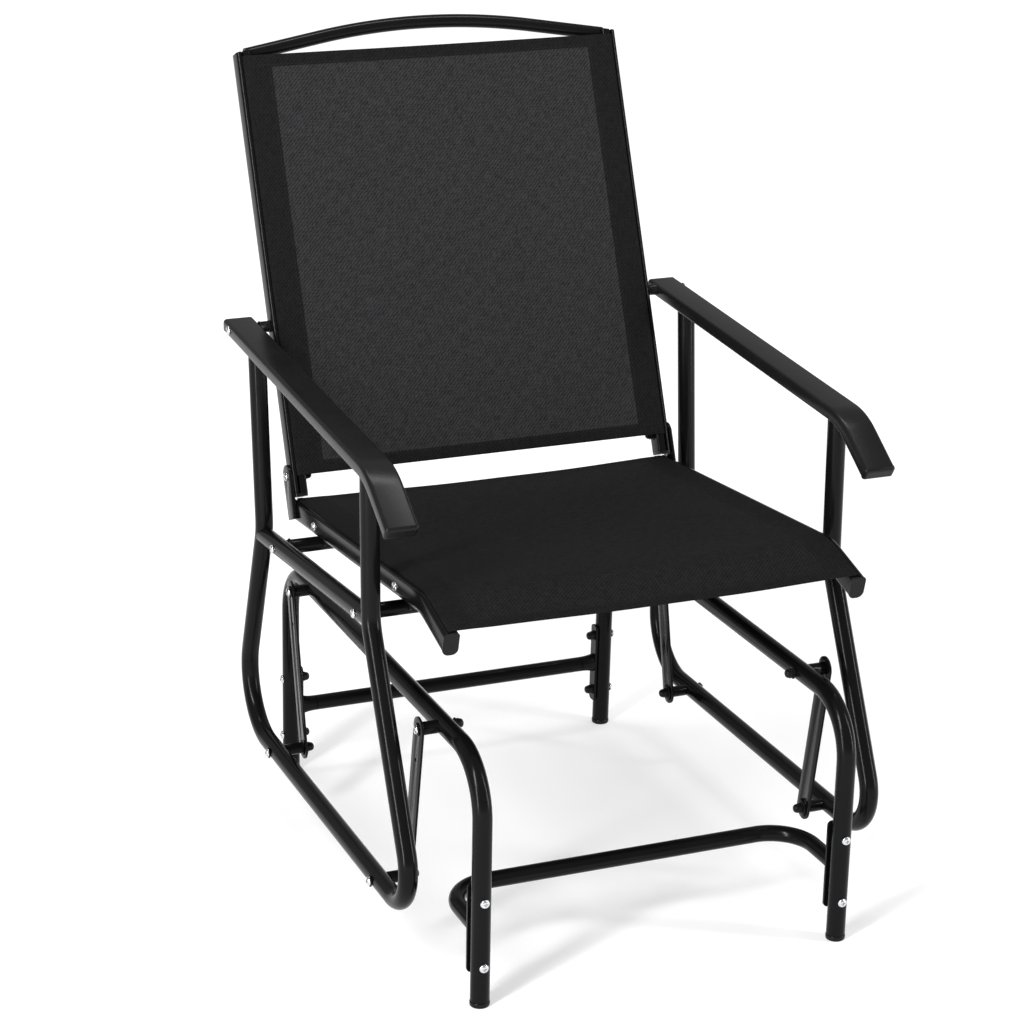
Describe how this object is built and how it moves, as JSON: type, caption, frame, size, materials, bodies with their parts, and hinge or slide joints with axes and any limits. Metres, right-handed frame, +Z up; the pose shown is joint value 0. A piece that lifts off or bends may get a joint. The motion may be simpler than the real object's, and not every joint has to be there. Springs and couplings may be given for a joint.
{
  "type": "patio glider chair",
  "caption": "Metal patio glider armchair: a sling seat and back on a tube frame, hung from flat swing links on a bent-tube base, so the seat glides forwards and back.",
  "frame": {"origin": "centre of the chair's footprint box, on the floor", "axes": "+Z up, +Y towards the back of the chair, +X across the chair, so the front faces -Y"},
  "size_m": [0.6956, 0.8997, 1.09],
  "materials": {
    "powder_coat": "satin black powder coat on steel tube and flat bar",
    "black_plastic": "satin black moulded plastic",
    "zinc_bolts": "bright zinc plating",
    "sling": "coarse woven coated polyester mesh, dark grey"
  },
  "bodies": {
    "base": {"base_frame_left": "powder_coat", "base_frame_right": "powder_coat", "foot_plug_front_left": "black_plastic", "foot_plug_front_right": "black_plastic", "foot_plug_rear_left": "black_plastic", "foot_plug_rear_right": "black_plastic", "front_brace": "powder_coat", "rear_brace": "powder_coat", "front_brace_bolt_lower_left": "zinc_bolts", "front_brace_bolt_lower_right": "zinc_bolts", "front_brace_bolt_upper_left": "zinc_bolts", "front_brace_bolt_upper_right": "zinc_bolts", "rear_brace_bolt_lower_left": "zinc_bolts", "rear_brace_bolt_lower_right": "zinc_bolts", "rear_brace_bolt_upper_left": "zinc_bolts", "rear_brace_bolt_upper_right": "zinc_bolts", "top_pivot_bolt_front_left": "zinc_bolts", "top_pivot_bolt_front_right": "zinc_bolts", "top_pivot_bolt_rear_left": "zinc_bolts", "top_pivot_bolt_rear_right": "zinc_bolts"},
    "link_front_left": {"link_front_left": "powder_coat"},
    "link_front_right": {"link_front_right": "powder_coat"},
    "link_rear_left": {"link_rear_left": "powder_coat"},
    "link_rear_right": {"link_rear_right": "powder_coat"},
    "glider": {"arm_frame_left": "powder_coat", "arm_frame_right": "powder_coat", "side_rail_left": "powder_coat", "side_rail_right": "powder_coat", "armrest_left": "black_plastic", "armrest_right": "black_plastic", "arm_spacer_left": "black_plastic", "arm_spacer_right": "black_plastic", "arm_bolt_left": "zinc_bolts", "arm_bolt_right": "zinc_bolts", "seat_rail_left": "powder_coat", "seat_rail_right": "powder_coat", "seat_rail_cap_left": "black_plastic", "seat_rail_cap_right": "black_plastic", "hinge_plate_left": "powder_coat", "hinge_plate_right": "powder_coat", "back_rail_left": "powder_coat", "back_rail_right": "powder_coat", "hinge_bolt_left": "zinc_bolts", "hinge_bolt_right": "zinc_bolts", "seat_cross_tube_front": "powder_coat", "seat_cross_tube_rear": "powder_coat", "seat_sling": "sling", "back_bow": "powder_coat", "back_spreader": "powder_coat", "back_sling": "sling", "bottom_spacer_front_left": "powder_coat", "bottom_spacer_front_right": "powder_coat", "bottom_spacer_rear_left": "powder_coat", "bottom_spacer_rear_right": "powder_coat", "bottom_pivot_bolt_front_left": "zinc_bolts", "bottom_pivot_bolt_front_right": "zinc_bolts", "bottom_pivot_bolt_rear_left": "zinc_bolts", "bottom_pivot_bolt_rear_right": "zinc_bolts"}
  },
  "joints": [
    {"name": "swing", "type": "hinge", "parent": "base", "child": "link_rear_left", "pos_m": [-0.2845, 0.21603, 0.33], "axis": [1, 0, 0], "range_deg": [-14, 14]},
    {"name": "seat_rock", "type": "hinge", "parent": "link_rear_left", "child": "glider", "pos_m": [-0.2845, 0.17203, 0.11], "axis": [1, 0, 0], "range_deg": [-17, 17]},
    {"name": "link_rear_right_swing", "type": "hinge", "parent": "base", "child": "link_rear_right", "pos_m": [0.2845, 0.21603, 0.33], "axis": [1, 0, 0], "range_deg": [-14.5, 14.5]},
    {"name": "link_front_left_swing", "type": "hinge", "parent": "base", "child": "link_front_left", "pos_m": [-0.2845, -0.30697, 0.33], "axis": [1, 0, 0], "range_deg": [-14.5, 14.5]},
    {"name": "link_front_right_swing", "type": "hinge", "parent": "base", "child": "link_front_right", "pos_m": [0.2845, -0.30697, 0.33], "axis": [1, 0, 0], "range_deg": [-14.5, 14.5]}
  ],
  "couplings": [
    {"joint": "seat_rock", "follows": "swing", "ratio": -1.1989},
    {"joint": "link_rear_right_swing", "follows": "swing", "ratio": 1},
    {"joint": "link_front_left_swing", "follows": "swing", "ratio": 1},
    {"joint": "link_front_right_swing", "follows": "swing", "ratio": 1}
  ]
}
